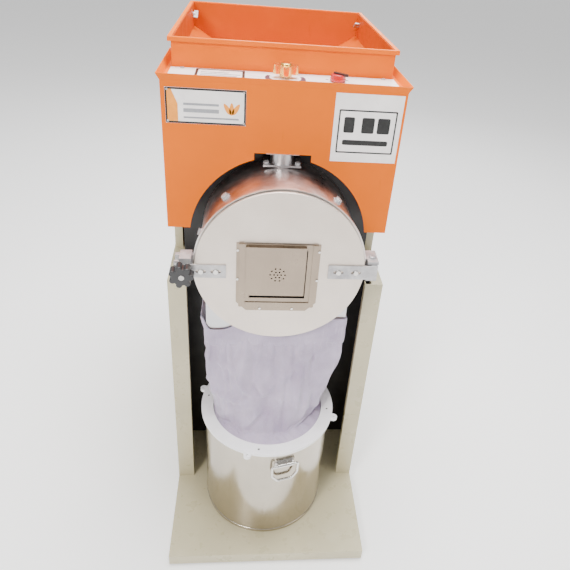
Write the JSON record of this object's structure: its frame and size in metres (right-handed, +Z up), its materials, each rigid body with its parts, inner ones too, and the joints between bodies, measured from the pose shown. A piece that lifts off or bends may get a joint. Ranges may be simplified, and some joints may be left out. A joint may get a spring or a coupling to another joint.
{
  "type": "hammer mill",
  "caption": "Floor-standing hammer mill with top hopper, hinged round grinding chamber on a motor, cloth flour bag and a steel bin on its base.",
  "frame": {"origin": "on the floor under the middle of the base", "axes": "+X to the right, -Y to the front where the bin and the door are, +Z up"},
  "size_m": [0.462, 0.85, 1.088],
  "materials": {
    "cream_paint": "semi-gloss cream powder coat",
    "orange_paint": "semi-gloss orange powder coat",
    "white_paint": "gloss white paint",
    "black_paint": "satin black paint",
    "grey_paint": "machine grey enamel",
    "stainless": "bright stainless sheet",
    "mirror_steel": "mirror-polished stainless sheet",
    "steel": "bare machined steel",
    "zinc": "zinc plated",
    "brass": "polished brass",
    "black_plastic": "moulded black plastic",
    "red_plastic": "moulded red plastic",
    "white_plastic": "moulded white plastic",
    "aluminium": "cast aluminium",
    "laminations": "varnished electrical steel",
    "cast_iron": "as cast",
    "rubber": "moulded rubber",
    "bag_cloth": "fine white filter cloth"
  },
  "bodies": {
    "stand": {"base_tray": "cream_paint", "rubber_feet": "rubber", "column_left": "cream_paint", "column_right": "cream_paint", "side_panels": "cream_paint", "partition": "black_paint", "motor_shelf": "black_paint", "back_panel": "cream_paint", "cable_gland": "black_plastic", "hood_shell": "orange_paint", "control_panel": "white_paint", "label_plates": "white_plastic", "cover_screws": "zinc", "switch_body": "black_plastic", "hopper_tray": "orange_paint", "hopper_funnel": "orange_paint", "feed_throat": "mirror_steel", "hopper_bolts": "zinc", "drum_shell": "mirror_steel", "drum_front_ring": "stainless", "drum_bolts": "zinc", "grinding_liner": "cast_iron", "flour_screen": "stainless", "outlet_chute": "stainless", "door_lugs": "zinc", "hinge_pin": "zinc", "motor_frame": "grey_paint", "motor_end_shields": "grey_paint", "motor_stator": "laminations", "motor_bearings": "steel", "fan_cowl": "grey_paint", "terminal_box": "grey_paint", "capacitor": "aluminium", "filter_bag": "bag_cloth"},
    "door": {"door_disc": "stainless", "door_gasket": "rubber", "vent_frame": "stainless", "door_straps": "zinc", "door_rivets": "zinc"},
    "vent_slider": {"vent_cover": "stainless"},
    "latch_slider": {"latch_washer": "zinc"},
    "latch": {"latch_knob": "black_plastic"},
    "feed_control": {"feed_knob": "brass", "feed_gate": "steel"},
    "switch": {"switch_knob": "red_plastic"},
    "rotor": {"rotor_hub": "steel", "hammer_pins": "steel", "rotor_nut": "zinc", "motor_shaft": "steel", "motor_rotor": "laminations", "cooling_fan": "black_plastic"},
    "hammer_row_1": {"hammers_1": "steel"},
    "hammer_row_2": {"hammers_2": "steel"},
    "hammer_row_3": {"hammers_3": "steel"},
    "hammer_row_4": {"hammers_4": "steel"},
    "clamp_ring": {"bag_ring": "white_plastic"},
    "bin": {"bin_shell": "stainless", "handle_brackets": "stainless"},
    "bin_handle_front": {"bin_handle_front": "stainless"},
    "bin_handle_rear": {"bin_handle_rear": "stainless"}
  },
  "joints": [
    {"name": "door_hinge", "type": "hinge", "parent": "stand", "child": "door", "pos_m": [0.18, -0.252, 0.718], "axis": [0, 0, 1], "range_deg": [0, 115]},
    {"name": "vent_slide", "type": "slide", "parent": "door", "child": "vent_slider", "axis": [0, 0, 1], "range_m": [0, 0.09]},
    {"name": "latch_travel", "type": "slide", "parent": "door", "child": "latch_slider", "axis": [0, -1, 0], "range_m": [0, 0.015]},
    {"name": "latch_turn", "type": "hinge", "parent": "latch_slider", "child": "latch", "pos_m": [-0.184, -0.29, 0.716], "axis": [0, -1, 0], "range_deg": [0, 4320]},
    {"name": "feed_turn", "type": "hinge", "parent": "stand", "child": "feed_control", "pos_m": [0, -0.093, 1], "axis": [0, 0, 1], "range_deg": [0, 90]},
    {"name": "switch_turn", "type": "hinge", "parent": "stand", "child": "switch", "pos_m": [0.099, -0.099, 1.04], "axis": [0, 0, 1], "range_deg": [-45, 45]},
    {"name": "rotor_spin", "type": "hinge", "parent": "stand", "child": "rotor", "pos_m": [0, 0, 0.718], "axis": [0, 1, 0], "continuous": true},
    {"name": "hammer_swing_1", "type": "hinge", "parent": "rotor", "child": "hammer_row_1", "pos_m": [-0.0566, -0.18, 0.7746], "axis": [0, -1, 0], "range_deg": [-215, 5]},
    {"name": "hammer_swing_2", "type": "hinge", "parent": "rotor", "child": "hammer_row_2", "pos_m": [0.0566, -0.18, 0.7746], "axis": [0, -1, 0], "range_deg": [-5, 215]},
    {"name": "hammer_swing_3", "type": "hinge", "parent": "rotor", "child": "hammer_row_3", "pos_m": [0.0566, -0.18, 0.6614], "axis": [0, -1, 0], "range_deg": [-95, 125]},
    {"name": "hammer_swing_4", "type": "hinge", "parent": "rotor", "child": "hammer_row_4", "pos_m": [-0.0566, -0.18, 0.6614], "axis": [0, -1, 0], "range_deg": [-125, 95]},
    {"name": "ring_lift", "type": "slide", "parent": "stand", "child": "clamp_ring", "axis": [0, 0, 1], "range_m": [0, 0.05], "deforming": ["filter_bag"]},
    {"name": "bin_slide", "type": "slide", "parent": "stand", "child": "bin", "axis": [0, -1, 0], "range_m": [0, 0.3]},
    {"name": "handle_front_swing", "type": "hinge", "parent": "bin", "child": "bin_handle_front", "pos_m": [0.02977, -0.37248, 0.279], "axis": [-0.9703, -0.2419, 0], "range_deg": [0, 85]},
    {"name": "handle_rear_swing", "type": "hinge", "parent": "bin", "child": "bin_handle_rear", "pos_m": [-0.04377, -0.07752, 0.279], "axis": [0.9703, 0.2419, 0], "range_deg": [0, 17]}
  ],
  "couplings": [
    {"joint": "latch_travel", "follows": "latch_turn", "m_per_rad": 0.00019894}
  ]
}
